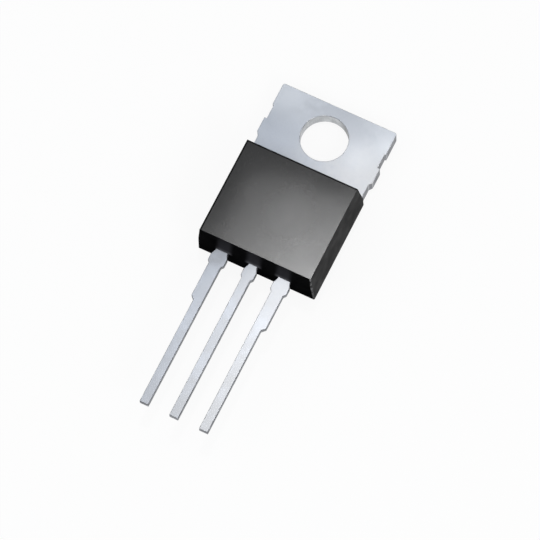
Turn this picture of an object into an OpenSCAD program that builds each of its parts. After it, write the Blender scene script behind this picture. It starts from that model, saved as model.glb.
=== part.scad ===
// Power transistor in a three-lead moulded package with a bolt-down metal tab.
// It lies on its back: X runs across it, +Y to the end of the tab, +Z out of the front.
// The origin is on the axis of the mounting hole, at the back face.

/* [Tab] */
// Width across the end of the tab
tab_w = 9.94; // [9.7:0.02:10.6]
// Thickness of the tab
tab_t = 1.27; // [1.1:0.01:1.5]
// Hole centre to the end of the tab
hole_to_end = 2.85; // [2.5:0.05:3.4]
// Diameter of the mounting hole
hole_d = 3.84; // [3.2:0.02:4.1]
// Hole centre to the upper edge of the mould
hole_to_mould = 3.22; // [2.9:0.02:3.6]
// Cut across each corner at the end of the tab
tab_corner = 0.12; // [0.02:0.01:0.4]

/* [Tab edges] */
// Plain length of each edge, from the end of the tab to the notch
edge_plain_l = 2; // [1.4:0.05:2.2]
// Length of the notch in each edge
notch_l = 1.25; // [0.8:0.05:1.4]
// Depth of the notch in each edge
notch_depth = 0.12; // [0.05:0.01:0.3]
// Length of the sheared stub below the notch
shear_stub_l = 1.3; // [0.8:0.05:1.5]
// How far the sheared stub stands past the width of the tab
shear_stub_proud = 0.08; // [0.02:0.01:0.15]
// Length of the slope that ends the sheared stub
shear_stub_slope = 0.3; // [0.1:0.02:0.4]

/* [Die pad] */
// Width of the pad that the back of the mould leaves bare
pad_w = 8.5; // [7.6:0.05:8.8]
// End of the tab to the lower edge of the bare pad
pad_reach = 12.95; // [12.4:0.05:13.1]
// Width of the lip round the front of the pad, which locks the mould on
pad_lip = 0.3; // [0.15:0.05:0.35]

/* [Mould] */
// Width of the mould at its back
body_w = 10; // [9.8:0.05:10.6]
// Length of the mould, upper edge to lower edge
body_l = 9.18; // [8.9:0.02:9.5]
// Height of the front of the mould above the back
body_h = 4.4; // [4.3:0.05:4.8]
// Draft of the side walls, in degrees
side_draft = 3.1; // [1:0.1:6]
// Draft of the upper wall in front of the tab, in degrees
upper_draft = 9.3; // [3:0.1:12]
// Draft of the lower wall in front of the leads, in degrees
lower_draft = 15.6; // [5:0.1:18]
// Draft of the lower wall behind the leads, in degrees
lower_back_draft = 9.5; // [2:0.1:12]
// Draft of the upper wall beside the edges of the tab, in degrees
upper_back_draft = 1; // [0.5:0.1:2]
// Plastic beside each edge of the tab where it enters the mould
neck_cover = 0.1; // [0.05:0.01:0.2]

/* [Leads] */
// Distance from one lead to the next
lead_pitch = 2.54; // [2.4:0.01:2.7]
// Width of the slim part of each lead
lead_w = 0.75; // [0.6:0.01:0.9]
// Thickness of the leads
lead_t = 0.5; // [0.4:0.01:0.6]
// Back of the tab to the back of the leads
lead_level = 2.4; // [2.2:0.02:2.6]
// Lower edge of the mould to the tips of the leads
lead_l = 13.6; // [12.7:0.1:14.7]
// Extra width on the outer side of each outer lead
wide_extra = 0.3; // [0.1:0.01:0.4]
// Lower edge of the mould to the end of that extra width
wide_l = 4.2; // [2:0.1:6]
// Length of the slope where the extra width ends
wide_slope = 0.3; // [0.1:0.02:0.5]

/* [Dam bar stubs] */
// How far the cut stub of the dam bar stands out from each side of a lead
bar_proud = 0.17; // [0.05:0.01:0.25]
// Lower edge of the mould to the start of the stub's upper slope
bar_drop = 0.1; // [0.05:0.01:0.3]
// Length of the stub's upper slope
bar_upper_slope = 0.4; // [0.1:0.02:0.6]
// Length of the stub's straight side
bar_l = 0.55; // [0.3:0.05:0.9]
// Length of the stub's lower slope
bar_lower_slope = 0.2; // [0.05:0.01:0.4]

/* [Inside the mould] */
// Lower edge of the mould to the bond posts
post_cover = 0.6; // [0.4:0.05:0.8]
// Length of the bond posts
post_l = 1.05; // [0.8:0.05:1.2]
// Width of the bond post on the gate lead
gate_post_w = 2; // [1.4:0.05:2.4]
// Width of the bond post on the source lead
source_post_w = 2.5; // [1.8:0.05:2.7]
// Cut across each corner of the bond posts
post_corner = 0.25; // [0.1:0.05:0.35]
// Width of the bent strip that joins the centre lead to the pad
strip_w = 1.4; // [0.9:0.05:1.6]
// Angle of the bent strip to the pad, in degrees
strip_angle = 60; // [56:1:75]

/* [Chip] */
// Width of the chip
chip_w = 4.2; // [3:0.1:5]
// Length of the chip
chip_l = 3.4; // [2.8:0.1:4]
// Thickness of the chip
chip_t = 0.28; // [0.2:0.01:0.35]
// Hole centre to the middle of the chip
chip_drop = 7; // [6.4:0.1:7.4]
// Thickness of the solder under the chip
solder_t = 0.06; // [0.04:0.01:0.1]
// How far the solder spreads past the chip
solder_rim = 0.15; // [0.05:0.01:0.3]

/* [Bond wires] */
// Diameter of the gate wire
gate_wire_d = 0.15; // [0.12:0.01:0.25]
// Diameter of each source wire
source_wire_d = 0.38; // [0.25:0.01:0.45]
// Distance between the two source wires on the source post
source_wire_gap = 1; // [0.7:0.05:1.2]
// Length of each pressed wire foot
wire_foot_l = 0.45; // [0.3:0.05:0.6]
// Plastic over the crown of each wire loop
loop_cover = 0.55; // [0.4:0.05:0.7]

/* [Hidden] */
$fn = 96;

// Places along Y
tab_end_y = hole_to_end;
mould_top_y = -hole_to_mould;
mould_low_y = mould_top_y - body_l;
pad_low_y = tab_end_y - pad_reach;
lip_low_y = pad_low_y - pad_lip;
neck_low_y = mould_top_y - 2 * pad_lip;
tip_y = mould_low_y - lead_l;
post_low_y = mould_low_y + post_cover;
post_top_y = post_low_y + post_l;
chip_y = -chip_drop;

// Heights of the stack on the pad
lead_top = lead_level + lead_t;
solder_top = tab_t + solder_t;
chip_top = solder_top + chip_t;
loop_top = body_h - loop_cover;

// Overlap of cutting shapes
cut_over = 1;

// Pressed feet, as shares of the wire's diameter: width, height at the heel, height at the toe
foot_spread = 1.3;
foot_h = 0.6;
toe_h = 0.3;

// Half the width of the tab where it enters the mould
neck_half = body_w / 2 - tab_t * tan(side_draft) - neck_cover;

// Joins the points of a right-hand edge with their mirror image on the left
function both_sides(right) = concat(
    right,
    [for (i = [len(right) - 1 : -1 : 0]) [-right[i][0], right[i][1]]]
);

// Plate whose right-hand edge is given, standing on a level
module plate(right, level, thickness) {
    translate([0, 0, level])
        linear_extrude(thickness)
            polygon(both_sides(right));
}

// Right-hand edge of the tab, from its end down to where the pad starts inside the mould
function tab_edge() =
    let (half = tab_w / 2,
        notch_y = tab_end_y - edge_plain_l,
        stub_y = notch_y - notch_l,
        stub_low_y = stub_y - shear_stub_l)
    [
        [half - tab_corner, tab_end_y],
        [half, tab_end_y - tab_corner],
        [half, notch_y],
        [half - notch_depth, notch_y],
        [half - notch_depth, stub_y],
        [half + shear_stub_proud, stub_y],
        [half + shear_stub_proud, stub_low_y],
        [neck_half, stub_low_y - shear_stub_slope],
        [neck_half, neck_low_y]
    ];

// Edge of a lead, from its tip up to a given height, on the side where it is wider by extra
function lead_edge(extra, top_y) =
    let (half = lead_w / 2,
        wide = half + extra,
        wide_y = mould_low_y - wide_l,
        bar_top_y = mould_low_y - bar_drop,
        bar_y = bar_top_y - bar_upper_slope,
        bar_low_y = bar_y - bar_l,
        slope = extra > 0 ? [[half, wide_y - wide_slope], [wide, wide_y]] : [])
    concat(
        [[half, tip_y]],
        slope,
        [
            [wide, bar_low_y - bar_lower_slope],
            [wide + bar_proud, bar_low_y],
            [wide + bar_proud, bar_y],
            [wide, bar_top_y],
            [wide, top_y]
        ]
    );

// Outline of a lead on its own centre line, its right-hand side wider by extra
module lead_outline(extra, top_y) {
    right = lead_edge(extra, top_y);
    left = lead_edge(0, top_y);
    polygon(concat(right, [for (i = [len(left) - 1 : -1 : 0]) [-left[i][0], left[i][1]]]));
}

// Bond post at the inner end of an outer lead, seen from the front
module post_outline(width) {
    half = width / 2;
    polygon(both_sides([
        [half, post_low_y],
        [half, post_top_y - post_corner],
        [half - post_corner, post_top_y]
    ]));
}

// Outer lead with its bond post, on the right
module outer_lead(post_w) {
    translate([lead_pitch, 0, lead_level])
        linear_extrude(lead_t)
            union() {
                lead_outline(wide_extra, post_low_y + post_l / 2);
                post_outline(post_w);
            }
}

// Side profile of [y, z] points, extruded across the part
module side_profile(width, points) {
    rotate([90, 0, 90])
        translate([0, 0, -width / 2])
            linear_extrude(width)
                polygon(points);
}

// Strip that climbs from the lip of the pad to the level of the leads
module bent_strip() {
    low = tab_t - lead_t;
    mitre = lead_t * tan(strip_angle / 2);
    run = (lead_level - low) / tan(strip_angle);
    knee_y = lip_low_y - mitre;
    top_knee_y = knee_y - run;
    end_y = mould_low_y + post_cover / 2;
    side_profile(strip_w, [
        [pad_low_y, low],
        [knee_y, low],
        [top_knee_y, lead_level],
        [end_y, lead_level],
        [end_y, lead_top],
        [top_knee_y + mitre, lead_top],
        [lip_low_y, tab_t],
        [pad_low_y, tab_t]
    ]);
}

// Heat-sink tab, die pad and centre lead, stamped from one strip of thick and thin copper
module drain_tab() {
    pad_half = pad_w / 2;
    color([0.8, 0.82, 0.86])
        difference() {
            union() {
                plate(tab_edge(), 0, tab_t);
                plate([[pad_half, neck_low_y + pad_lip], [pad_half, pad_low_y]], 0, tab_t);
                plate(
                    [[pad_half + pad_lip, neck_low_y + pad_lip], [pad_half + pad_lip, lip_low_y]],
                    tab_t - lead_t,
                    lead_t
                );
                bent_strip();
                translate([0, 0, lead_level])
                    linear_extrude(lead_t)
                        lead_outline(0, mould_low_y + post_cover);
            }
            translate([0, 0, -cut_over])
                cylinder(d = hole_d, h = tab_t + 2 * cut_over);
        }
}

module gate_lead() {
    color([0.74, 0.75, 0.8])
        mirror([1, 0, 0])
            outer_lead(gate_post_w);
}

module source_lead() {
    color([0.84, 0.84, 0.87])
        outer_lead(source_post_w);
}

// Flat rectangular layer centred on the chip
module chip_layer(width, length, level, thickness) {
    translate([-width / 2, chip_y - length / 2, level])
        cube([width, length, thickness]);
}

module chip() {
    color([0.35, 0.38, 0.45])
        chip_layer(chip_w, chip_l, solder_top, chip_t);
}

module chip_solder() {
    color([0.62, 0.62, 0.6])
        chip_layer(chip_w + 2 * solder_rim, chip_l + 2 * solder_rim, tab_t, solder_t);
}

// Distance along a wire from its first bend to the crown of its loop.
// One circle goes through both bends and touches the crown's height.
function crown_at(reach, drop_a, drop_b) =
    let (a = drop_b - drop_a,
        b = 2 * drop_a * reach,
        c = drop_a * (drop_a * drop_b - reach * reach - drop_b * drop_b))
    (-b + sqrt(b * b - 4 * a * c)) / (2 * a);

// Pressed wedge foot of a wire that ends along +X, its toe thinned by the tool
module wire_foot(d, level) {
    heel = foot_spread * d / 2;
    translate([0, 0, level])
        rotate([90, 0, 0])
            translate([0, 0, -heel])
                linear_extrude(2 * heel)
                    polygon([
                        [-heel, 0],
                        [wire_foot_l, 0],
                        [wire_foot_l, toe_h * d],
                        [heel, foot_h * d],
                        [-heel, foot_h * d]
                    ]);
}

// Space below a foot, where the wire's round end would sink in
module below_foot(d, level) {
    translate([-d, -d, level - 2 * d])
        cube([wire_foot_l + 2 * d, 2 * d, 2 * d]);
}

// Wire looped from a bend over the chip to a bend over a post, each given as [x, y]
module bond_wire(d, chip_bend, post_bend) {
    level_a = chip_top + foot_h * d / 2;
    level_b = lead_top + foot_h * d / 2;
    crown = loop_top - d / 2;
    way = post_bend - chip_bend;
    reach = norm(way);
    drop_a = crown - level_a;
    drop_b = crown - level_b;
    top = crown_at(reach, drop_a, drop_b);
    loop_r = (top * top + drop_a * drop_a) / (2 * drop_a);
    centre_z = crown - loop_r;
    from = 180 - atan2(level_a - centre_z, top);
    to = atan2(level_b - centre_z, reach - top);
    translate([chip_bend[0], chip_bend[1], 0])
        rotate([0, 0, atan2(way[1], way[0])])
            difference() {
                union() {
                    mirror([1, 0, 0])
                        wire_foot(d, chip_top);
                    translate([reach, 0, 0])
                        wire_foot(d, lead_top);
                    translate([top, 0, centre_z])
                        rotate([90, 0, 0])
                            rotate([0, 0, to])
                                rotate_extrude(angle = from - to)
                                    translate([loop_r, 0])
                                        circle(d = d);
                }
                mirror([1, 0, 0])
                    below_foot(d, chip_top);
                translate([reach, 0, 0])
                    below_foot(d, lead_top);
            }
}

// Where the wires bend: beside the chip's lower edge, and over the posts
post_mid_y = (post_low_y + post_top_y) / 2;
chip_low_y = chip_y - chip_l / 2;
bond_in = wire_foot_l + 0.3;

module gate_wire() {
    color([0.86, 0.86, 0.84])
        bond_wire(
            gate_wire_d,
            [-chip_w / 2 + bond_in, chip_low_y + bond_in],
            [-lead_pitch, post_mid_y + wire_foot_l / 2]
        );
}

// Source wire whose post end stands to one side of the lead's centre line
module source_wire(side) {
    color([0.86, 0.86, 0.84])
        bond_wire(
            source_wire_d,
            [chip_w / 4 + side * source_wire_gap / 2, chip_low_y + 2 * bond_in],
            [lead_pitch + side * source_wire_gap / 2, post_mid_y + wire_foot_l / 2]
        );
}

module source_wire_inner() {
    source_wire(-1);
}

module source_wire_outer() {
    source_wire(1);
}

// Solid outline of the mould: drafted walls all round, mitred at the corners
module mould_blank() {
    half = body_w / 2;
    half_front = half - body_h * tan(side_draft);
    intersection() {
        side_profile(2 * body_w, [
            [mould_top_y - tab_t * tan(upper_back_draft), 0],
            [mould_top_y, tab_t],
            [mould_top_y - (body_h - tab_t) * tan(upper_draft), body_h],
            [mould_low_y + (body_h - lead_top) * tan(lower_draft), body_h],
            [mould_low_y, lead_top],
            [mould_low_y, lead_level],
            [mould_low_y + lead_level * tan(lower_back_draft), 0]
        ]);
        translate([0, mould_top_y + body_l, 0])
            rotate([90, 0, 0])
                linear_extrude(3 * body_l)
                    polygon(both_sides([
                        [half, 0],
                        [half_front, body_h]
                    ]));
    }
}

// Mould, cast tight round the metal, the chip and the wires
module mould_body() {
    color([0.27, 0.27, 0.28])
        difference() {
            mould_blank();
            drain_tab();
            gate_lead();
            source_lead();
            chip();
            chip_solder();
            gate_wire();
            source_wire_inner();
            source_wire_outer();
        }
}

mould_body();
drain_tab();
gate_lead();
source_lead();
chip();
chip_solder();
gate_wire();
source_wire_inner();
source_wire_outer();
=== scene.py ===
import math

import bmesh
import bpy
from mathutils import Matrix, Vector


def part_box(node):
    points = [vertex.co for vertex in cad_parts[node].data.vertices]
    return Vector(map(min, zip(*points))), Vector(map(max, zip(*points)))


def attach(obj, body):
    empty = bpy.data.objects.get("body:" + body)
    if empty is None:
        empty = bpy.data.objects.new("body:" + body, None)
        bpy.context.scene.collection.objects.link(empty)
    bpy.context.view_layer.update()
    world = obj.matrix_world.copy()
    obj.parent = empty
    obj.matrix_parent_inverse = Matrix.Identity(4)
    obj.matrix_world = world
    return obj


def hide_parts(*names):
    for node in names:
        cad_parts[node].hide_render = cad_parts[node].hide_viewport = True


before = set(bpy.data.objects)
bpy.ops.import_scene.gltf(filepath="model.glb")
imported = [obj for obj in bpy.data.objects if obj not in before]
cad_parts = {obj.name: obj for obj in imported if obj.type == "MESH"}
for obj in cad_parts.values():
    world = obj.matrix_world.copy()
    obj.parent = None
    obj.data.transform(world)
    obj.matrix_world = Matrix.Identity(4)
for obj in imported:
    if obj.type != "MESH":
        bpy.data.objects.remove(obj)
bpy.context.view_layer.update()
print("frame loaded:", ", ".join(sorted(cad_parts)))

mm = 0.001

mouldLow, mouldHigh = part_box("mould_body")
lowerWallY = mouldLow.y  # where the leads leave the mould
upperWallY = mouldHigh.y  # where the tab leaves it
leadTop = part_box("gate_lead")[1].z
leadPitch = 2.54 * mm
wallDepth = 0.6 * mm  # the wall that the leads leave leans in by no more than this


cameraView = {
    "place": (54.617, -98.287, 283.470),  # millimetres
    "turn": (19.7559, 1.9182, 26.4166),  # degrees about X, Y and Z
    "lens": 257.92,
    "sensor": 36,
    "clip": (0.01, 20),  # metres
}


def placeCamera(view):
    data = bpy.data.cameras.new("viewCamera")
    data.lens = view["lens"]
    data.sensor_width = view["sensor"]
    data.clip_start, data.clip_end = view["clip"]
    camera = bpy.data.objects.new("viewCamera", data)
    camera.location = [value * mm for value in view["place"]]
    camera.rotation_euler = [math.radians(angle) for angle in view["turn"]]
    bpy.context.scene.collection.objects.link(camera)
    bpy.context.scene.camera = camera


placeCamera(cameraView)
print("camera placed")


studioLight = {
    "roomColour": (0.97, 0.985, 1.0),
    "roomStrength": 0.58,
    "softboxes": {  # places, aims and sizes in millimetres
        "overheadSoftbox": {
            "place": (-16, 27.5, 155),
            "aim": (0, -10, 3),
            "size": 16,
            "power": 0.0321,
            "colour": (1.0, 1.0, 1.0),
        },
        "rightFillSoftbox": {
            "place": (170, -110, 150),
            "aim": (0, -10, 2),
            "size": 110,
            "power": 0.13,
            "colour": (1.0, 0.99, 0.98),
        },
        "leftFillSoftbox": {
            "place": (-150, -140, 150),
            "aim": (0, -10, 2),
            "size": 110,
            "power": 0.05,
            "colour": (0.97, 0.985, 1.0),
        },
    },
}


def addSoftbox(name, light):
    data = bpy.data.lights.new(name, "AREA")
    data.shape = "DISK"
    data.size = light["size"] * mm
    data.energy = light["power"]
    data.color = light["colour"]
    lamp = bpy.data.objects.new(name, data)
    lamp.location = Vector(light["place"]) * mm
    away = Vector(light["place"]) - Vector(light["aim"])
    lamp.rotation_euler = away.to_track_quat("Z", "Y").to_euler()
    bpy.context.scene.collection.objects.link(lamp)


def lightRoom(light):
    world = bpy.data.worlds.new("room")
    bpy.context.scene.world = world
    world.use_nodes = True
    background = world.node_tree.nodes["Background"]
    background.inputs["Color"].default_value = (*light["roomColour"], 1)
    background.inputs["Strength"].default_value = light["roomStrength"]
    for name, softbox in light["softboxes"].items():
        addSoftbox(name, softbox)


lightRoom(studioLight)
bpy.context.scene.view_settings.view_transform = "Standard"
print("lights placed")


def fillInputs(tree, node, inputs):
    for key, value in inputs.items():
        if isinstance(value, bpy.types.NodeSocket):
            tree.links.new(value, node.inputs[key])
        else:
            node.inputs[key].default_value = value


def addNode(tree, kind, inputs=None, **settings):
    node = tree.nodes.new(kind)
    for key, value in settings.items():
        setattr(node, key, value)
    fillInputs(tree, node, inputs or {})
    return node


def calc(tree, operation, a, b=0.0, clamp=False):
    node = addNode(tree, "ShaderNodeMath", {0: a, 1: b}, operation=operation, use_clamp=clamp)
    return node.outputs[0]


def product(tree, first, *others):
    total = first
    for factor in others:
        total = calc(tree, "MULTIPLY", total, factor)
    return total


def remap(tree, value, low, high, toLow=0.0, toHigh=1.0, smooth=False):
    inputs = {0: value, 1: low, 2: high, 3: toLow, 4: toHigh}
    kind = "SMOOTHSTEP" if smooth else "LINEAR"
    return addNode(tree, "ShaderNodeMapRange", inputs, interpolation_type=kind).outputs[0]


def blendValue(tree, factor, a, b):
    return addNode(tree, "ShaderNodeMix", {0: factor, 2: a, 3: b}, data_type="FLOAT").outputs[0]


def blendColour(tree, factor, a, b):
    return addNode(tree, "ShaderNodeMix", {0: factor, 6: a, 7: b}, data_type="RGBA").outputs[2]


def addNoise(tree, place, scale, detail=3.0, roughness=0.5, distortion=0.0):
    inputs = {"Vector": place, "Scale": scale, "Detail": detail}
    inputs.update({"Roughness": roughness, "Distortion": distortion})
    return addNode(tree, "ShaderNodeTexNoise", inputs).outputs[0]


def splitPlace(tree, place):
    return list(addNode(tree, "ShaderNodeSeparateXYZ", {0: place}).outputs)


def newGroup(name, inputs, outputs):
    group = bpy.data.node_groups.new(name, "ShaderNodeTree")
    for socketName, kind, value in inputs:
        socket = group.interface.new_socket(name=socketName, in_out="INPUT", socket_type=kind)
        if value is not None:
            socket.default_value = value
    for socketName, kind in outputs:
        group.interface.new_socket(name=socketName, in_out="OUTPUT", socket_type=kind)
    given = group.nodes.new("NodeGroupInput").outputs
    result = group.nodes.new("NodeGroupOutput")
    return group, given, result


effects = {
    "swellShare": 1.5,  # how much more the swell lifts the surface than the fine grain does
    "grainRange": (0.3, 0.7),
    "smallBlotches": 7.0,  # how much smaller the small blotches are than the broad ones
    "broadShare": 0.65,
    "smallShare": 0.35,
    "blotchRange": (0.36, 0.64),
    "breakRange": (0.42, 0.62),
}


def makeGrainGroup(effect):
    group, given, result = newGroup(
        "surfaceGrain",
        [
            ("Vector", "NodeSocketVector", None),
            ("Cells per metre", "NodeSocketFloat", 20000.0),
            ("Swell per metre", "NodeSocketFloat", 900.0),
        ],
        [("Height", "NodeSocketFloat"), ("Speckle", "NodeSocketFloat"), ("Swell", "NodeSocketFloat")],
    )
    fine = addNoise(group, given["Vector"], given["Cells per metre"], detail=2.0, roughness=0.6)
    swell = addNoise(group, given["Vector"], given["Swell per metre"], detail=2.0)
    height = calc(group, "ADD", fine, calc(group, "MULTIPLY", swell, effect["swellShare"]))
    speckle = remap(group, fine, *effect["grainRange"])
    swelling = remap(group, swell, *effect["grainRange"])
    fillInputs(group, result, {"Height": height, "Speckle": speckle, "Swell": swelling})
    return group


def makeToneGroup(effect):
    group, given, result = newGroup(
        "toneDrift",
        [
            ("Vector", "NodeSocketVector", None),
            ("Light", "NodeSocketColor", (0.7, 0.7, 0.7, 1)),
            ("Dark", "NodeSocketColor", (0.6, 0.6, 0.6, 1)),
            ("Blotches per metre", "NodeSocketFloat", 400.0),
        ],
        [("Colour", "NodeSocketColor"), ("Blotch", "NodeSocketFloat")],
    )
    smallScale = calc(group, "MULTIPLY", given["Blotches per metre"], effect["smallBlotches"])
    broad = addNoise(group, given["Vector"], given["Blotches per metre"], distortion=0.4)
    small = addNoise(group, given["Vector"], smallScale)
    broadPart = calc(group, "MULTIPLY", broad, effect["broadShare"])
    smallPart = calc(group, "MULTIPLY", small, effect["smallShare"])
    blotch = remap(group, calc(group, "ADD", broadPart, smallPart), *effect["blotchRange"], smooth=True)
    colour = blendColour(group, blotch, given["Dark"], given["Light"])
    fillInputs(group, result, {"Colour": colour, "Blotch": blotch})
    return group


# shared by real wear on the metal's edges and painted highlight along the mould's lit edges
def makeRubAndSheenGroup(effect):
    group, given, result = newGroup(
        "edgeRubAndSheen",
        [
            ("Vector", "NodeSocketVector", None),
            ("Edge", "NodeSocketFloat", 0.0),
            ("Breaks per metre", "NodeSocketFloat", 5000.0),
        ],
        [("RubAndSheen", "NodeSocketFloat")],
    )
    breaks = addNoise(group, given["Vector"], given["Breaks per metre"], detail=4.0, roughness=0.65)
    broken = remap(group, breaks, *effect["breakRange"], smooth=True)
    fillInputs(group, result, {"RubAndSheen": calc(group, "MULTIPLY", given["Edge"], broken, clamp=True)})
    return group


def makeLineGroup():
    group, given, result = newGroup(
        "rollingLines",
        [
            ("Vector", "NodeSocketVector", None),
            ("Lines per metre", "NodeSocketFloat", 9000.0),
            ("Stretch", "NodeSocketFloat", 0.02),
        ],
        [("Height", "NodeSocketFloat")],
    )
    x, y, z = splitPlace(group, given["Vector"])
    along = calc(group, "MULTIPLY", y, given["Stretch"])
    stretched = addNode(group, "ShaderNodeCombineXYZ", {0: x, 1: along, 2: z}).outputs[0]
    lines = addNoise(group, stretched, given["Lines per metre"], roughness=0.7)
    fillInputs(group, result, {"Height": lines})
    return group


grainGroup = makeGrainGroup(effects)
toneGroup = makeToneGroup(effects)
rubAndSheenGroup = makeRubAndSheenGroup(effects)
lineGroup = makeLineGroup()
print("shared effects made")


def addEffect(tree, group, inputs):
    node = addNode(tree, "ShaderNodeGroup", node_tree=group)
    fillInputs(tree, node, inputs)
    return node.outputs


def addGrain(tree, place, cells, swell):
    return addEffect(tree, grainGroup, {"Vector": place, "Cells per metre": cells, "Swell per metre": swell})


def addTone(tree, place, light, dark, blotches):
    inputs = {"Vector": place, "Light": light, "Dark": dark, "Blotches per metre": blotches}
    return addEffect(tree, toneGroup, inputs)


def addRubAndSheen(tree, place, breaks):
    edge = addNode(tree, "ShaderNodeAttribute", attribute_name="edgeMark").outputs["Fac"]
    return addEffect(tree, rubAndSheenGroup, {"Vector": place, "Edge": edge, "Breaks per metre": breaks})["RubAndSheen"]


def startMaterial(name, fixedValues):
    material = bpy.data.materials.new(name)
    material.use_nodes = True
    tree = material.node_tree
    shader = tree.nodes["Principled BSDF"]
    for key, value in fixedValues.items():
        shader.inputs[key].default_value = value
    place = addNode(tree, "ShaderNodeTexCoord").outputs["Object"]
    return material, tree, shader, place


def feedBump(tree, shader, height, strength, depth):
    inputs = {"Height": height, "Strength": strength, "Distance": depth * mm}
    bump = addNode(tree, "ShaderNodeBump", inputs)
    tree.links.new(bump.outputs["Normal"], shader.inputs["Normal"])


def nearSpot(tree, x, y, spot, most=1.0):  # strongest at the spot, seen from the front, and 0 past its reach
    spotX, spotY = spot["place"]
    asideX = calc(tree, "SUBTRACT", x, spotX * mm)
    asideY = calc(tree, "SUBTRACT", y, spotY * mm)
    square = calc(tree, "ADD", calc(tree, "MULTIPLY", asideX, asideX), calc(tree, "MULTIPLY", asideY, asideY))
    return remap(tree, calc(tree, "SQRT", square), 0, spot["reach"] * mm, most, 0, smooth=True)


mouldFinish = {
    "cellsPerMetre": 16000,
    "faceLight": (0.010, 0.010, 0.0104, 1),
    "faceDark": (0.006, 0.006, 0.0063, 1),
    "faceBlotches": 350.0,
    "faceSwell": 380.0,
    "faceSpeck": (0.075, 0.075, 0.077, 1),
    "speckShare": 0.12,
    "faceRubAndSheen": (0.10, 0.10, 0.102, 1),
    "faceBreaks": 4000.0,
    "rubAndSheenAtTab": 0.1,  # painted highlight and wear: the face's edges are lit and rubbed fully at the lead end, and only this much at the tab end
    "faceGloss": 0.565,
    "faceRoughness": (0.196, 0.234),
    "faceBump": (0.2, 0.003),  # strength, and depth in millimetres
    "faceInset": 0.5,  # millimetres that the draft takes from the face's top edge
    "rimRoughness": 0.12,  # the tool is polished smoother along the top and gate-side edges
    "rimReach": 3.5,
    "leadEndRoughness": 0.143,  # the gate-side rim is less polished, and wider, at the lead end
    "leadEndReach": 5.4,
    "leadEndLength": 4.0,
    "rimFade": 0.25,  # the rim is weaker at the source end of the top edge
    "sheenLeast": 0.6,
    "faceSheenPatches": (  # painted highlight: lighter patches in the middle of the face and at its lower corner on the source side
        {"place": (0.9, -7.9), "reach": 2.8, "colour": (0.045, 0.045, 0.046, 1)},
        {"place": (5.0, -12.2), "reach": 4.2, "colour": (0.065, 0.065, 0.066, 1)},
    ),
}


def makeMouldFace(finish):
    material, tree, shader, place = startMaterial("mouldFace", {"Specular IOR Level": finish["faceGloss"]})
    x, y = splitPlace(tree, place)[:2]
    grain = addGrain(tree, place, finish["cellsPerMetre"], finish["faceSwell"])
    tone = addTone(tree, place, finish["faceLight"], finish["faceDark"], finish["faceBlotches"])
    specks = calc(tree, "MULTIPLY", grain["Speckle"], finish["speckShare"])
    colour = blendColour(tree, specks, tone["Colour"], finish["faceSpeck"])
    uneven = remap(tree, grain["Swell"], 0, 1, finish["sheenLeast"], 1)
    # painted highlight: the face is lifted towards a lighter colour where the lamp's highlight falls
    for sheenPatch in finish["faceSheenPatches"]:
        sheened = calc(tree, "MULTIPLY", nearSpot(tree, x, y, sheenPatch), uneven)
        colour = blendColour(tree, sheened, colour, sheenPatch["colour"])
    # painted highlight and wear: the lower and source-side edges are lighter, most at the lead end where the
    # lamp's highlight falls
    rubAndSheenAlong = remap(tree, y, lowerWallY, upperWallY, 1, finish["rubAndSheenAtTab"])
    rubbedAndLit = calc(tree, "MULTIPLY", addRubAndSheen(tree, place, finish["faceBreaks"]), rubAndSheenAlong)
    colour = blendColour(tree, rubbedAndLit, colour, finish["faceRubAndSheen"])
    tree.links.new(colour, shader.inputs["Base Color"])

    leadEnd = remap(tree, y, lowerWallY, lowerWallY + finish["leadEndLength"] * mm, 1, 0, smooth=True)
    usualEnd = mouldLow.x + finish["rimReach"] * mm
    widestEnd = mouldLow.x + finish["leadEndReach"] * mm
    fromGateSide = remap(tree, x, mouldLow.x, remap(tree, leadEnd, 0, 1, usualEnd, widestEnd), smooth=True)
    faceTop = upperWallY - finish["faceInset"] * mm
    fade = remap(tree, x, mouldLow.x, mouldHigh.x, 0, finish["rimFade"])
    fromTop = remap(tree, y, faceTop - finish["rimReach"] * mm, faceTop, 1, fade, smooth=True)
    inward = calc(tree, "MULTIPLY", fromGateSide, fromTop)
    rimRough = remap(tree, leadEnd, 0, 1, finish["rimRoughness"], finish["leadEndRoughness"])
    innerRough = remap(tree, grain["Swell"], 0, 1, *finish["faceRoughness"])
    tree.links.new(blendValue(tree, inward, rimRough, innerRough), shader.inputs["Roughness"])
    feedBump(tree, shader, grain["Speckle"], *finish["faceBump"])
    return material


wallFinish = {
    "cellsPerMetre": 16000,
    "swell": 900.0,
    "light": (0.0045, 0.0045, 0.0048, 1),
    "dark": (0.0025, 0.0025, 0.0027, 1),
    "blotches": 600.0,
    "sideGloss": 0.035,  # the long walls leave the tool smoother than the lower one
    "lowerGloss": 0.0,
    "roughness": (0.45, 0.6),
    "bump": (0.35, 0.006),
    "leadReflection": (0.034, 0.034, 0.039, 1),  # painted reflection of each lead, on the lower wall above it
    "reflectionHalf": (0.3, 0.8),  # half width of the full reflection, and where it ends
    "reflectionHeight": 1.5,
    "reflectionAtTop": 0.55,
    "reflectionLeast": 0.75,
    "reflectionGap": 0.05,
    "outerLead": 1.5,  # between the outer lead's number and the next
    "reflectionNearLead": (0.11, 0.11, 0.12, 1),  # painted reflection, brighter and bluer close to the lead
    "reflectionNearReach": 0.4,
    # painted highlight and wear: the rounded lower and source-side corners are lighter
    "rubAndSheen": (0.22, 0.22, 0.225, 1),
    "breaks": 1500.0,
    "rubAndSheenAtBack": 0.15,  # painted highlight and wear: the corners are lit and rubbed fully at the front, and only this much at the back
}


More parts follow.
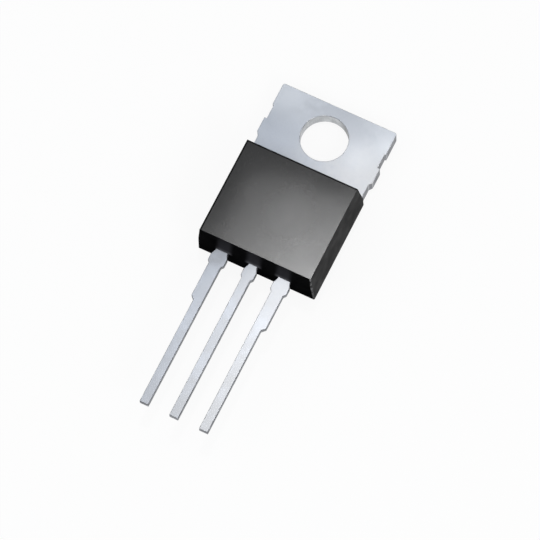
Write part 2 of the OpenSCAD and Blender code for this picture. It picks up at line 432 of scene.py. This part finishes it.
def leadReflectionMask(tree, x, y, z, finish):
    leadNumber = calc(tree, "ROUND", calc(tree, "DIVIDE", x, leadPitch))
    leadX = calc(tree, "MULTIPLY", leadNumber, leadPitch)
    aside = calc(tree, "ABSOLUTE", calc(tree, "SUBTRACT", x, leadX))
    full, end = finish["reflectionHalf"]
    overLead = remap(tree, aside, full * mm, end * mm, 1, 0, smooth=True)
    reflectionTop = leadTop + finish["reflectionHeight"] * mm
    upFromLead = remap(tree, z, leadTop, reflectionTop, 1, finish["reflectionAtTop"], smooth=True)
    aboveLead = calc(tree, "GREATER_THAN", z, leadTop - finish["reflectionGap"] * mm)
    onLowerWall = calc(tree, "LESS_THAN", y, lowerWallY + wallDepth)
    amongLeads = calc(tree, "LESS_THAN", calc(tree, "ABSOLUTE", leadNumber), finish["outerLead"])
    return product(tree, overLead, upFromLead, aboveLead, onLowerWall, amongLeads)


def makeMouldWall(name, finish, gloss):
    material, tree, shader, place = startMaterial(name, {"Specular IOR Level": gloss})
    x, y, z = splitPlace(tree, place)
    grain = addGrain(tree, place, finish["cellsPerMetre"], finish["swell"])
    tone = addTone(tree, place, finish["light"], finish["dark"], finish["blotches"])
    uneven = remap(tree, grain["Swell"], 0, 1, finish["reflectionLeast"], 1)
    # painted reflection of the leads on the lower wall
    leadReflection = calc(tree, "MULTIPLY", leadReflectionMask(tree, x, y, z, finish), uneven)
    colour = blendColour(tree, leadReflection, tone["Colour"], finish["leadReflection"])
    closeToLead = remap(tree, z, leadTop, leadTop + finish["reflectionNearReach"] * mm, 1, 0, smooth=True)
    colour = blendColour(tree, calc(tree, "MULTIPLY", leadReflection, closeToLead), colour, finish["reflectionNearLead"])
    towardsFace = remap(tree, z, 0, mouldHigh.z, finish["rubAndSheenAtBack"], 1)
    rubbedAndLit = calc(tree, "MULTIPLY", addRubAndSheen(tree, place, finish["breaks"]), towardsFace)
    tree.links.new(blendColour(tree, rubbedAndLit, colour, finish["rubAndSheen"]), shader.inputs["Base Color"])
    rough = remap(tree, grain["Swell"], 0, 1, *finish["roughness"])
    tree.links.new(rough, shader.inputs["Roughness"])
    feedBump(tree, shader, grain["Height"], *finish["bump"])
    return material


tinFinish = {
    "cellsPerMetre": 10000,
    "swell": 1100.0,
    "light": (0.48, 0.49, 0.51, 1),
    "dark": (0.41, 0.425, 0.455, 1),
    "blotches": 260.0,
    "thin": (0.305, 0.33, 0.375, 1),  # painted shade: the metal is darker towards the gate side of the strip
    "stripHalf": 4.6,
    "stripWander": 1.5,  # how far the shaded side's edge wanders, in millimetres
    "strip": (0.357, 0.38, 0.42, 1),  # the even tone at the end of the tab
    "stripSide": (0.46, 0.487, 0.53, 1),  # and the lighter one towards its two corners
    "stripMiddle": 0.5,
    "stripSideFrom": 1.0,
    "stripSideTo": 4.4,
    "evenFrom": -1.0,
    "evenTo": 2.5,
    "evenShare": 0.9,
    "tipShade": (0.34, 0.34, 0.345, 1),  # painted shade: the leads are darker towards their tips
    "tipShadeLength": 14,
    "tipShadeShare": 0.32,
    "tabSheenColour": (0.565, 0.59, 0.62, 1),
    "tabSheenSpots": (  # painted highlight beside the hole, and towards the source-side edge
        {"place": (3.2, -0.2), "reach": 2.1, "share": 0.42},
        {"place": (4.7, 1.4), "reach": 1.4, "share": 0.40},
    ),
    "mouldShade": (0.20, 0.212, 0.235, 1),  # painted shade on the metal next to the mould
    "mouldShadeShare": (0.3, 0.5),
    "tabShadeReach": 1.9,  # millimetres from the mould
    "tabShadeLeast": 0.2,
    "leadShadeReach": 3.2,
    "leadShadeShare": 3.0,  # the leads are shaded this much more than the tab
    "thinPower": 2.0,  # and the gate-side one far more than the others
    "backClear": 0.1,  # the painted shade stays off the back face
    "rubAndSheen": (0.56, 0.57, 0.58, 1),
    "speckShare": 0.07,
    "breaks": 3000.0,
    "rubPolish": 0.04,
    "roughness": (0.36, 0.41),
    "speckRough": 0.15,
    "blotchRough": 0.85,
    "linesPerMetre": 7000.0,
    "lineStretch": 0.03,
    "lineShare": 1.2,
    "bump": (0.15, 0.003),
}


def tabTone(tree, across, finish):
    aside = calc(tree, "ABSOLUTE", calc(tree, "SUBTRACT", across, finish["stripMiddle"] * mm))
    side = remap(tree, aside, finish["stripSideFrom"] * mm, finish["stripSideTo"] * mm, smooth=True)
    return blendColour(tree, side, finish["strip"], finish["stripSide"])


def paintMouldShade(tree, y, z, below, thinner, finish):
    above = calc(tree, "SUBTRACT", y, upperWallY)
    nearTab = remap(tree, above, 0, finish["tabShadeReach"] * mm, 1, 0, smooth=True)
    onTab = calc(tree, "MULTIPLY", nearTab, remap(tree, thinner, 0, 1, finish["tabShadeLeast"], 1))
    nearLeads = remap(tree, below, 0, finish["leadShadeReach"] * mm, 1, 0, smooth=True)
    onLeads = product(tree, nearLeads, calc(tree, "POWER", thinner, finish["thinPower"]), finish["leadShadeShare"])
    isTab = calc(tree, "GREATER_THAN", y, upperWallY)
    offBack = calc(tree, "GREATER_THAN", z, finish["backClear"] * mm)
    return calc(tree, "MULTIPLY", blendValue(tree, isTab, onLeads, onTab), offBack)


def makeTin(finish):
    material, tree, shader, place = startMaterial("tinPlate", {"Metallic": 1.0})
    x, y, z = splitPlace(tree, place)
    grain = addGrain(tree, place, finish["cellsPerMetre"], finish["swell"])
    tone = addTone(tree, place, finish["light"], finish["dark"], finish["blotches"])
    rubAndSheen = addRubAndSheen(tree, place, finish["breaks"])
    drift = calc(tree, "SUBTRACT", tone["Blotch"], 0.5)
    across = calc(tree, "ADD", x, calc(tree, "MULTIPLY", drift, finish["stripWander"] * mm))
    # painted shade: darker towards the gate side, away from the lamp's highlight
    full = remap(tree, across, -finish["stripHalf"] * mm, finish["stripHalf"] * mm, smooth=True)
    colour = blendColour(tree, full, finish["thin"], tone["Colour"])
    even = remap(tree, y, finish["evenFrom"] * mm, finish["evenTo"] * mm, 0, finish["evenShare"], smooth=True)
    colour = blendColour(tree, even, colour, tabTone(tree, across, finish))
    below = calc(tree, "SUBTRACT", lowerWallY, y)
    towardsTips = remap(tree, below, 0, finish["tipShadeLength"] * mm, 0, finish["tipShadeShare"])
    colour = blendColour(tree, towardsTips, colour, finish["tipShade"])
    for spot in finish["tabSheenSpots"]:
        colour = blendColour(tree, nearSpot(tree, x, y, spot, spot["share"]), colour, finish["tabSheenColour"])
    share = remap(tree, grain["Swell"], 0, 1, *finish["mouldShadeShare"])
    thinner = calc(tree, "SUBTRACT", 1.0, full)
    # painted shade on the metal next to the mould wall
    mouldShade = paintMouldShade(tree, y, z, below, thinner, finish)
    colour = blendColour(tree, calc(tree, "MULTIPLY", mouldShade, share), colour, finish["mouldShade"])
    specks = calc(tree, "MULTIPLY", grain["Speckle"], finish["speckShare"])
    colour = blendColour(tree, specks, colour, finish["rubAndSheen"])
    tree.links.new(blendColour(tree, rubAndSheen, colour, finish["rubAndSheen"]), shader.inputs["Base Color"])

    speckPart = calc(tree, "MULTIPLY", grain["Speckle"], finish["speckRough"])
    blotchPart = calc(tree, "MULTIPLY", tone["Blotch"], finish["blotchRough"])
    rough = remap(tree, calc(tree, "ADD", speckPart, blotchPart), 0, 1, *finish["roughness"])
    rough = calc(tree, "SUBTRACT", rough, calc(tree, "MULTIPLY", rubAndSheen, finish["rubPolish"]))
    tree.links.new(rough, shader.inputs["Roughness"])
    lineInputs = {
        "Vector": place,
        "Lines per metre": finish["linesPerMetre"],
        "Stretch": finish["lineStretch"],
    }
    lines = addEffect(tree, lineGroup, lineInputs)["Height"]
    height = calc(tree, "ADD", grain["Height"], calc(tree, "MULTIPLY", lines, finish["lineShare"]))
    feedBump(tree, shader, height, *finish["bump"])
    return material


# partly painted shade: cut faces are darker for their bare rough cut, and darker still for the shade beside
# the floor
shearFinish = {
    "light": (0.31, 0.32, 0.34, 1),
    "dark": (0.17, 0.175, 0.19, 1),
    "blotches": 1500.0,
    "streaksPerMetre": 9000.0,
    "streakStretch": 0.08,
    "streakRange": (0.35, 0.65),
    "streakShare": 0.5,
    "roughRange": (0.3, 0.7),
    "roughness": (0.38, 0.6),
    "bump": (0.5, 0.008),
}
boreFinish = {
    **shearFinish,
    "light": (0.60, 0.615, 0.63, 1),
    "dark": (0.42, 0.435, 0.45, 1),
    "roughness": (0.32, 0.5),
    "darkerSide": (0.20, 0.205, 0.215, 1),  # the wall is darker on the source side
    "darkerSideFrom": 0.3,
    "darkerSideTo": 1.3,
    "darkerSideShare": 0.9,
}


def makeSheared(name, finish):
    material, tree, shader, place = startMaterial(name, {"Metallic": 1.0})
    x, y, z = splitPlace(tree, place)
    level = calc(tree, "MULTIPLY", z, finish["streakStretch"])
    flattened = addNode(tree, "ShaderNodeCombineXYZ", {0: x, 1: y, 2: level}).outputs[0]
    streaks = addNoise(tree, flattened, finish["streaksPerMetre"], roughness=0.7)
    tone = addTone(tree, place, finish["light"], finish["dark"], finish["blotches"])
    streaked = remap(tree, streaks, *finish["streakRange"], 0, finish["streakShare"])
    colour = blendColour(tree, streaked, tone["Colour"], finish["dark"])
    if "darkerSide" in finish:
        start, end = finish["darkerSideFrom"] * mm, finish["darkerSideTo"] * mm
        darkerSide = remap(tree, x, start, end, 0, finish["darkerSideShare"], smooth=True)
        colour = blendColour(tree, darkerSide, colour, finish["darkerSide"])
    tree.links.new(colour, shader.inputs["Base Color"])
    rough = remap(tree, streaks, *finish["roughRange"], *finish["roughness"])
    tree.links.new(rough, shader.inputs["Roughness"])
    feedBump(tree, shader, streaks, *finish["bump"])
    return material


mouldFace = makeMouldFace(mouldFinish)
mouldSide = makeMouldWall("mouldSide", wallFinish, wallFinish["sideGloss"])
mouldLower = makeMouldWall("mouldLower", wallFinish, wallFinish["lowerGloss"])
tinPlate = makeTin(tinFinish)
shearedAndShadedEdge = makeSheared("shearedAndShadedEdge", shearFinish)
punchedBore = makeSheared("punchedBore", boreFinish)
print("finishes made")


modelling = {  # gaps in millimetres, angles in degrees
    "mergeGap": 0.0001,
    "shortestEdge": 0.00001,
    "planeGap": 0.0005,
    "cutGap": 0.00001,
    "touch": 0.001,  # points this near to a plane count as lying on it
    "near": 0.01,
    "flatAngle": 0.3,
    "cornerAngle": 28,
    "smoothAngle": 40,
    "leastNormal": 1e-9,
    "facing": 0.6,  # a face looks along an axis when its normal has more than this of it
    "flatFacing": 0.9999,
    "steps": 3,
    "fineSteps": 4,
}
touch = modelling["touch"] * mm
near = modelling["near"] * mm


def cleanCopy(node):
    bm = bmesh.new()
    bm.from_mesh(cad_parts[node].data)
    bmesh.ops.remove_doubles(bm, verts=bm.verts, dist=modelling["mergeGap"] * mm)
    flat = math.radians(modelling["flatAngle"])
    bmesh.ops.dissolve_limit(bm, angle_limit=flat, verts=bm.verts, edges=bm.edges)
    bm.faces.layers.int.new("rounded")  # a later bevel copies it to the faces that it redraws
    return bm


def middle(edge):
    return (edge.verts[0].co + edge.verts[1].co) / 2


def cornerEdges(bm, wanted):
    limit = math.radians(modelling["cornerAngle"])
    sharp = [edge for edge in bm.edges if len(edge.link_faces) == 2 and edge.calc_face_angle(0) > limit]
    return [edge for edge in sharp if wanted(middle(edge), edge)]


def cutFaces(bm, faces, place, direction):
    chosen = set(faces)
    edges = [edge for edge in bm.edges if chosen.intersection(edge.link_faces)]
    verts = [vert for vert in bm.verts if chosen.intersection(vert.link_faces)]
    geometry = verts + edges + faces
    gap = modelling["cutGap"] * mm
    cut = bmesh.ops.bisect_plane(bm, geom=geometry, dist=gap, plane_co=place, plane_no=direction)
    return [item for item in cut["geom"] if isinstance(item, bmesh.types.BMFace)]


def splitAt(bm, y):
    cutFaces(bm, bm.faces[:], (0, y, 0), (0, 1, 0))


def roundEdges(bm, edges, width, steps=modelling["steps"]):
    made = bmesh.ops.bevel(
        bm,
        geom=edges,
        offset=width * mm,
        offset_type="OFFSET",
        segments=steps,
        profile=0.5,
        affect="EDGES",
        clamp_overlap=True,
        material=-1,
    )
    layer = bm.faces.layers.int["rounded"]
    for face in made["faces"]:
        face[layer] = 1
    bm.normal_update()


def roundedFaces(bm):
    layer = bm.faces.layers.int["rounded"]
    return {face for face in bm.faces if face[layer]}


def cornerNormals(bm, rounded):  # flat faces stay flat, and only the rounded strips turn
    reach = math.cos(math.radians(modelling["smoothAngle"]))
    normals = []
    for face in bm.faces:
        for loop in face.loops:
            alike = [other for other in loop.vert.link_loops if other.face.normal.dot(face.normal) > reach]
            flat = [other for other in alike if other.face not in rounded]
            total = Vector()
            for other in flat or alike:
                total += other.face.normal * other.calc_angle()
            isTurned = total.length > modelling["leastNormal"]
            normals.append(total.normalized() if isTurned else face.normal.copy())
    return normals


def finishPiece(bm, name, node, materials, materialOf, isMarkedEdge=None):
    bm.normal_update()
    mark = bm.loops.layers.float.new("edgeMark")
    rounded = roundedFaces(bm)
    for face in bm.faces:
        face.smooth = True
        face.material_index = materialOf(face, face in rounded)
        rubbedAndLit = face in rounded and (isMarkedEdge is None or isMarkedEdge(face))
        for loop in face.loops:
            loop[mark] = 1.0 if rubbedAndLit else 0.0
    normals = cornerNormals(bm, rounded)
    for layerName in [layer.name for layer in bm.faces.layers.int.values()]:
        bm.faces.layers.int.remove(bm.faces.layers.int[layerName])
    mesh = bpy.data.meshes.new(name)
    bm.to_mesh(mesh)
    bm.free()
    mesh.normals_split_custom_set(normals)
    for material in materials:
        mesh.materials.append(material)
    piece = bpy.data.objects.new(name, mesh)
    bpy.context.scene.collection.objects.link(piece)
    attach(piece, "root")
    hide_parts(node)
    print(name, "made:", len(mesh.polygons), "faces,", len(rounded), "of them rounded")


mouldShape = {
    "frontEdge": 0.035,
    "blackEdge": 0.09,  # the top and gate-side edges are rounder, and take the darker wall finish as painted shade
    "blackRim": 0.14,  # and so does the rim of the face along them, counted from the sharp edge
    "sourceCorner": 0.10,  # the upright corner beside the source lead
    "uprightLeast": 0.3,  # an upright edge climbs more than this
    "uprightFacing": 0.25,
    "highlightSideFacing": 0.1,
    "smallestOuterFace": 0.05,  # square millimetres
    "panelFrom": 3.7,  # past this the lower wall's bulge dies out towards its corners
    "cornerFrom": 4.5,
    "gatePull": 0.22,
    "sourcePull": 0.36,
    "gateHeel": 0.045,  # the back corner on the gate side stands out a little
}


def markOuter(bm, smallest):  # marks the large faces that no point of the mould lies in front of
    layer = bm.faces.layers.int.new("outer")
    points = [vert.co.copy() for vert in bm.verts]
    for face in bm.faces:
        if face.calc_area() > smallest * mm * mm:
            start = face.verts[0].co
            furthest = max((point - start).dot(face.normal) for point in points)
            if furthest < modelling["planeGap"] * mm:
                face[layer] = 1


def easeCorners(bm, shape):
    layer = bm.faces.layers.int["outer"]
    atSide = [vert for vert in bm.verts if vert.co.x < mouldLow.x + touch]
    heel = [vert for vert in atSide if vert.co.y < lowerWallY + wallDepth]
    out = -shape["gateHeel"] * mm
    bmesh.ops.translate(bm, verts=heel, vec=(out, out, 0))
    wall = [face for face in bm.faces if face[layer] and face.normal.y < -modelling["facing"]]
    for side, pull in ((-1, shape["gatePull"]), (1, shape["sourcePull"])):
        wall = cutFaces(bm, wall, (side * shape["panelFrom"] * mm, 0, 0), (1, 0, 0))
        pastPanel = [vert for vert in bm.verts if side * vert.co.x > shape["cornerFrom"] * mm]
        corner = [vert for vert in pastPanel if vert.co.y < lowerWallY + near]
        bmesh.ops.translate(bm, verts=corner, vec=(0, pull * mm, 0))
    bm.normal_update()


def roundMould(bm, shape):  # returns where the painted-shade rim of the front face begins
    outer = bm.faces.layers.int["outer"]
    rounded = bm.faces.layers.int["rounded"]

    def onOutside(edge):
        return all(face[outer] or face[rounded] for face in edge.link_faces)

    def isSourceCorner(point, edge):
        climb = abs(edge.verts[0].co.z - edge.verts[1].co.z)
        atLeads = point.y < lowerWallY + wallDepth and point.x > 0
        return onOutside(edge) and climb > shape["uprightLeast"] * mm and atLeads

    def isFrontEdge(point, edge):
        return onOutside(edge) and any(face.normal.z > modelling["flatFacing"] for face in edge.link_faces)

    roundEdges(bm, cornerEdges(bm, isSourceCorner), shape["sourceCorner"], modelling["fineSteps"])

    flat = [face for face in bm.faces if face.normal.z > modelling["flatFacing"]]
    front = [face for face in flat if face.calc_center_median().z > mouldHigh.z - near]
    frontTop = max(vert.co.y for face in front for vert in face.verts)
    frontSide = min(vert.co.x for face in front for vert in face.verts)
    rimTop = frontTop - shape["blackRim"] * mm
    rimSide = frontSide + shape["blackRim"] * mm

    def isBlackEdge(point, edge):
        return isFrontEdge(point, edge) and (point.y > frontTop - touch or point.x < frontSide + touch)

    front = cutFaces(bm, front, (0, rimTop, 0), (0, 1, 0))
    cutFaces(bm, front, (rimSide, 0, 0), (1, 0, 0))
    roundEdges(bm, cornerEdges(bm, isBlackEdge), shape["blackEdge"], modelling["fineSteps"])
    roundEdges(bm, cornerEdges(bm, isFrontEdge), shape["frontEdge"])
    bmesh.ops.dissolve_degenerate(bm, edges=bm.edges[:], dist=modelling["shortestEdge"] * mm)
    return rimTop, rimSide


def makeMould(shape):
    bm = cleanCopy("mould_body")
    markOuter(bm, shape["smallestOuterFace"])
    easeCorners(bm, shape)
    rimTop, rimSide = roundMould(bm, shape)
    uprights = {face for face in roundedFaces(bm) if abs(face.normal.z) < shape["uprightFacing"]}
    facing = modelling["facing"]
    onFace, onSide, onLower = range(3)

    def isHighlightSide(face):  # the lower and source-side edges take the painted highlight and rub, the top and gate-side edges the darker wall finish as painted shade
        return face.normal.y < shape["highlightSideFacing"] and face.normal.x > -shape["highlightSideFacing"]

    def mouldKind(face, isRounded):
        if isRounded and (face in uprights or not isHighlightSide(face)):
            return onSide
        place = face.calc_center_median()
        # painted shade: the rim of the face along the top and gate side takes the darker wall finish
        if face.normal.z > facing and (place.y > rimTop or place.x < rimSide):
            return onSide
        if isRounded or abs(face.normal.z) > facing:
            return onFace
        return onLower if face.normal.y < -facing else onSide

    materials = [mouldFace, mouldSide, mouldLower]
    finishPiece(bm, "mouldCase", "mould_body", materials, mouldKind, isHighlightSide)


makeMould(mouldShape)


boreShape = {
    "radius": 1.92,
    "radiusSlack": 0.03,
    "rimSlack": 0.02,
    "sides": 128,
    "rim": 0.05,
}
metalShape = {
    "tabEdge": 0.035,
    "leadEdge": 0.045,
    "tabStart": 0.01,  # the tab's surface is cut this far inside the mould
    "pastRim": 0.1,
    "cutFacing": 0.2,
}


def openBorder(bm, level):  # the open edges that lie at one level
    border = []
    for edge in bm.edges:
        isLevel = all(abs(vert.co.z - level * mm) < touch for vert in edge.verts)
        if len(edge.link_faces) == 1 and isLevel:
            border.append(edge)
    return border


def redrawBore(bm, bore):
    radius = bore["radius"] * mm
    slack = bore["radiusSlack"] * mm
    old = [vert for vert in bm.verts if abs(vert.co.xy.length - radius) < slack]
    oldSet = set(old)
    heights = sorted(round(vert.co.z / mm, 4) for vert in old)
    doomed = [face for face in bm.faces if any(vert in oldSet for vert in face.verts)]
    bmesh.ops.delete(bm, geom=doomed, context="FACES")
    loose = [vert for vert in old if vert.is_valid and not vert.link_faces]
    bmesh.ops.delete(bm, geom=loose, context="VERTS")
    levels = (heights[0], heights[-1])
    rings = []
    for level in levels:
        made = bmesh.ops.create_circle(bm, cap_ends=False, segments=bore["sides"], radius=radius)
        bmesh.ops.translate(bm, verts=made["verts"], vec=(0, 0, level * mm))
        points = set(made["verts"])
        rings.append([edge for edge in bm.edges if all(vert in points for vert in edge.verts)])
    for level, ring in zip(levels, rings):
        border = openBorder(bm, level)
        bmesh.ops.triangle_fill(bm, use_beauty=True, use_dissolve=False, edges=border + ring)
    bmesh.ops.bridge_loops(bm, edges=rings[0] + rings[1])
    bmesh.ops.recalc_face_normals(bm, faces=bm.faces)


plated, sheared, punched = range(3)


def metalKind(face, isRounded):
    return plated if isRounded or abs(face.normal.z) > modelling["facing"] else sheared


def leadKind(face, isRounded):  # the rounded source-side edges and the tips take the darker cut finish, partly as painted shade
    cut = metalShape["cutFacing"]
    if isRounded and (face.normal.x > cut or face.normal.y < -cut):
        return sheared
    return metalKind(face, isRounded)


def roundLeads(bm, width):
    roundEdges(bm, cornerEdges(bm, lambda point, edge: point.y < lowerWallY - touch), width)


def makeTab(shape, bore):
    bm = cleanCopy("drain_tab")
    redrawBore(bm, bore)
    splitAt(bm, upperWallY - shape["tabStart"] * mm)
    splitAt(bm, lowerWallY)
    rimEnd = (bore["radius"] + bore["rimSlack"]) * mm
    outlineStart = rimEnd + shape["pastRim"] * mm

    def isOutline(point, edge):
        return point.y > upperWallY and point.xy.length > outlineStart

    rim = cornerEdges(bm, lambda point, edge: point.xy.length < rimEnd)
    roundEdges(bm, rim, bore["rim"], modelling["fineSteps"])
    roundEdges(bm, cornerEdges(bm, isOutline), shape["tabEdge"])
    roundLeads(bm, shape["leadEdge"])

    def tabKind(face, isRounded):
        place = face.calc_center_median()
        if place.y < lowerWallY:
            return leadKind(face, isRounded)
        if place.xy.length < rimEnd and not isRounded:
            return punched
        return metalKind(face, isRounded)

    materials = [tinPlate, shearedAndShadedEdge, punchedBore]
    finishPiece(bm, "drainTab", "drain_tab", materials, tabKind)


def makeLead(node, name, shape):
    bm = cleanCopy(node)
    splitAt(bm, lowerWallY)
    roundLeads(bm, shape["leadEdge"])
    finishPiece(bm, name, node, [tinPlate, shearedAndShadedEdge], leadKind)


makeTab(metalShape, boreShape)
makeLead("gate_lead", "gateLead", metalShape)
makeLead("source_lead", "sourceLead", metalShape)


siliconFinish = {
    "cellsPerMetre": 60000.0,
    "swell": 1500.0,
    "light": (0.15, 0.16, 0.20, 1),
    "dark": (0.10, 0.11, 0.15, 1),
    "blotches": 900.0,
    "contact": (0.80, 0.80, 0.79, 1),
    "middle": (0, -7.0),
    "contactHalf": (1.85, 1.45),  # half width and half length
    "roughness": (0.18, 0.34),
    "bump": (0.2, 0.001),
}
solderFinish = {
    "cellsPerMetre": 30000.0,
    "swell": 2500.0,
    "light": (0.52, 0.52, 0.50, 1),
    "dark": (0.40, 0.40, 0.39, 1),
    "blotches": 1200.0,
    "roughness": (0.45, 0.65),
    "bump": (0.3, 0.002),
}
wireFinish = {
    **solderFinish,
    "cellsPerMetre": 45000.0,
    "light": (0.84, 0.84, 0.83, 1),
    "dark": (0.74, 0.74, 0.74, 1),
    "roughness": (0.22, 0.38),
}


def makeSilicon(finish):
    material, tree, shader, place = startMaterial("polishedSilicon", {})
    x, y = splitPlace(tree, place)[:2]
    grain = addGrain(tree, place, finish["cellsPerMetre"], finish["swell"])
    tone = addTone(tree, place, finish["light"], finish["dark"], finish["blotches"])
    middleX, middleY = finish["middle"]
    halfX, halfY = finish["contactHalf"]
    asideX = calc(tree, "ABSOLUTE", calc(tree, "SUBTRACT", x, middleX * mm))
    asideY = calc(tree, "ABSOLUTE", calc(tree, "SUBTRACT", y, middleY * mm))
    insideX = calc(tree, "LESS_THAN", asideX, halfX * mm)
    contact = calc(tree, "MULTIPLY", insideX, calc(tree, "LESS_THAN", asideY, halfY * mm))
    colour = blendColour(tree, contact, tone["Colour"], finish["contact"])
    tree.links.new(colour, shader.inputs["Base Color"])
    tree.links.new(contact, shader.inputs["Metallic"])
    rough = remap(tree, grain["Speckle"], 0, 1, *finish["roughness"])
    tree.links.new(rough, shader.inputs["Roughness"])
    feedBump(tree, shader, grain["Height"], *finish["bump"])
    return material


def makeInnerMetal(name, finish):
    material, tree, shader, place = startMaterial(name, {"Metallic": 1.0})
    grain = addGrain(tree, place, finish["cellsPerMetre"], finish["swell"])
    tone = addTone(tree, place, finish["light"], finish["dark"], finish["blotches"])
    tree.links.new(tone["Colour"], shader.inputs["Base Color"])
    rough = remap(tree, grain["Speckle"], 0, 1, *finish["roughness"])
    tree.links.new(rough, shader.inputs["Roughness"])
    feedBump(tree, shader, grain["Height"], *finish["bump"])
    return material


def dressNode(node, material):
    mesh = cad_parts[node].data
    mesh.materials.clear()
    mesh.materials.append(material)


softSolder = makeInnerMetal("softSolder", solderFinish)
bondWire = makeInnerMetal("bondWire", wireFinish)
dressNode("chip", makeSilicon(siliconFinish))
dressNode("chip_solder", softSolder)
for wireName in ("gate_wire", "source_wire_inner", "source_wire_outer"):
    dressNode(wireName, bondWire)
print("inner parts finished")


floorFinish = {
    "colour": (0.96, 0.96, 0.96, 1),
    "roughness": 0.9,
    "gloss": 0.1,
    "shadowShare": 0.1,  # how much of the lit floor, and so of the shadow, shows
    "halfWidth": 900,
    "drop": 0.01,
    "squares": 8,
}


def makeFloorMesh(finish):
    bm = bmesh.new()
    squares = finish["squares"]
    bmesh.ops.create_grid(bm, x_segments=squares, y_segments=squares, size=finish["halfWidth"] * mm)
    bmesh.ops.translate(bm, verts=bm.verts, vec=(0, 0, -finish["drop"] * mm))
    mesh = bpy.data.meshes.new("tableTop")
    bm.to_mesh(mesh)
    bm.free()
    return mesh


def makeCard(finish):
    material = bpy.data.materials.new("whiteCard")
    material.use_nodes = True
    tree = material.node_tree
    shader = tree.nodes["Principled BSDF"]
    shader.inputs["Base Color"].default_value = finish["colour"]
    shader.inputs["Roughness"].default_value = finish["roughness"]
    shader.inputs["Specular IOR Level"].default_value = finish["gloss"]
    glow = addNode(tree, "ShaderNodeEmission", {"Color": (1, 1, 1, 1), "Strength": 1.0})
    path = addNode(tree, "ShaderNodeLightPath").outputs
    seen = calc(tree, "ADD", path["Is Camera Ray"], path["Is Glossy Ray"])
    seen = calc(tree, "ADD", seen, path["Is Transmission Ray"], clamp=True)
    share = calc(tree, "MULTIPLY", seen, 1 - finish["shadowShare"])
    mix = addNode(tree, "ShaderNodeMixShader", {0: share, 1: shader.outputs[0], 2: glow.outputs[0]})
    tree.links.new(mix.outputs[0], tree.nodes["Material Output"].inputs["Surface"])
    return material


def makeFloor(finish):
    mesh = makeFloorMesh(finish)
    mesh.materials.append(makeCard(finish))
    floor = bpy.data.objects.new("tableTop", mesh)
    bpy.context.scene.collection.objects.link(floor)


makeFloor(floorFinish)
print("floor made")
